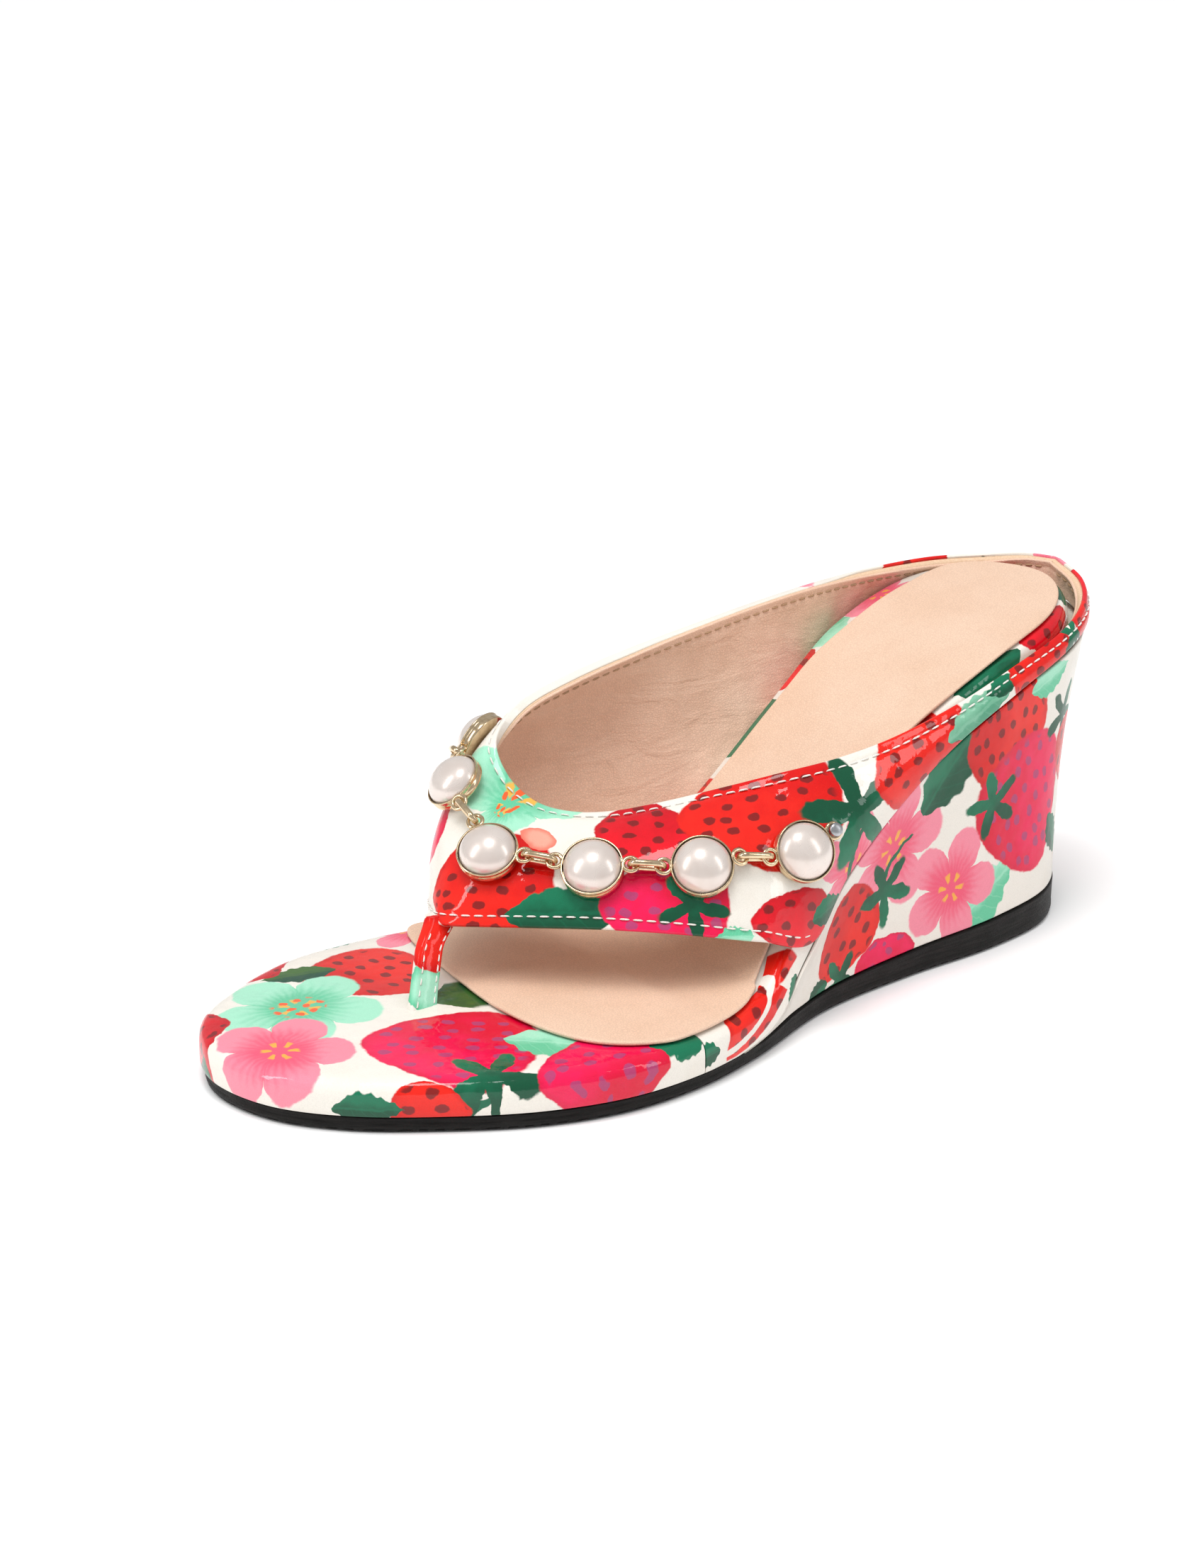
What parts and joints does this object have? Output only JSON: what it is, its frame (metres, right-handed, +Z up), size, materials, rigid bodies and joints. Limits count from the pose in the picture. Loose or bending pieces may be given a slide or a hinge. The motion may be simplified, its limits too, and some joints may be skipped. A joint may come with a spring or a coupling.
{
  "type": "wedge sandal",
  "caption": "Left wedge sandal: printed patent upper with a closed heel, toe post, open toe and a chain of pearls over the instep, on a wrapped wedge with a rubber outsole.",
  "frame": {"origin": "middle of the bounding box, on the ground", "axes": "+X to the toe, +Y to the outer side of the foot, +Z up"},
  "size_m": [0.2458, 0.0978, 0.0866],
  "materials": {
    "printed_patent": "glossy patent with a berry and blossom print on cream",
    "printed_accent": "glossy patent, a mostly red piece of the same print",
    "lining_leather": "beige, matte with fine creases",
    "rubber": "black, satin",
    "core_foam": "matte",
    "footbed_foam": "matte",
    "fibreboard": "matte",
    "webbing": "woven",
    "steel": "brushed",
    "gold": "polished, pale champagne gold",
    "pearl": "pearlescent, glossy"
  },
  "bodies": {
    "sandal": {"upper_shell": "printed_patent", "wedge_cover": "printed_patent", "toe_cover": "printed_patent", "toe_post_strap": "printed_patent", "rand_outer": "printed_accent", "rand_inner": "printed_accent", "upper_lining": "lining_leather", "sock_lining": "lining_leather", "outsole": "rubber", "wedge_core": "core_foam", "footbed_foam": "footbed_foam", "insole_board": "fibreboard", "heel_counter": "fibreboard", "toe_post_core": "webbing", "shank": "steel", "shank_rivet_1": "steel", "shank_rivet_2": "steel", "heel_nail_1": "steel", "heel_nail_2": "steel", "heel_nail_3": "steel", "heel_nail_4": "steel", "cup_1": "gold", "cup_2": "gold", "cup_3": "gold", "cup_4": "gold", "cup_5": "gold", "cup_6": "gold", "cup_7": "gold", "cup_8": "gold", "end_rivet_1": "gold", "end_rivet_2": "gold", "pearl_1": "pearl", "pearl_2": "pearl", "pearl_3": "pearl", "pearl_4": "pearl", "pearl_5": "pearl", "pearl_6": "pearl", "pearl_7": "pearl", "pearl_8": "pearl"},
    "link_1": {"link_1": "gold"},
    "link_2": {"link_2": "gold"},
    "link_3": {"link_3": "gold"},
    "link_4": {"link_4": "gold"},
    "link_5": {"link_5": "gold"},
    "link_6": {"link_6": "gold"},
    "link_7": {"link_7": "gold"}
  },
  "joints": [
    {"name": "link_1_roll", "type": "hinge", "parent": "sandal", "child": "link_1", "pos_m": [0.00768, 0.03328, 0.04485], "axis": [0.9546, -0.254, 0.156], "range_deg": [-25, 25]},
    {"name": "link_2_roll", "type": "hinge", "parent": "sandal", "child": "link_2", "pos_m": [0.02875, 0.02071, 0.04378], "axis": [0.7938, -0.6048, 0.0637], "range_deg": [-25, 25]},
    {"name": "link_3_roll", "type": "hinge", "parent": "sandal", "child": "link_3", "pos_m": [0.04578, 0.00298, 0.04403], "axis": [0.5919, -0.802, 0.0805], "range_deg": [-25, 25]},
    {"name": "link_4_roll", "type": "hinge", "parent": "sandal", "child": "link_4", "pos_m": [0.05129, -0.01753, 0.05039], "axis": [-0.0085, -0.9267, 0.3756], "range_deg": [-25, 25]},
    {"name": "link_5_roll", "type": "hinge", "parent": "sandal", "child": "link_5", "pos_m": [0.0409, -0.0366, 0.05755], "axis": [-0.4294, -0.8523, -0.2986], "range_deg": [-25, 25]},
    {"name": "link_6_roll", "type": "hinge", "parent": "sandal", "child": "link_6", "pos_m": [0.01912, -0.04428, 0.05738], "axis": [-0.9812, -0.1156, -0.1547], "range_deg": [-25, 25]},
    {"name": "link_7_roll", "type": "hinge", "parent": "sandal", "child": "link_7", "pos_m": [-0.00574, -0.04207, 0.05629], "axis": [-0.9557, 0.2714, -0.1142], "range_deg": [-25, 25]}
  ]
}
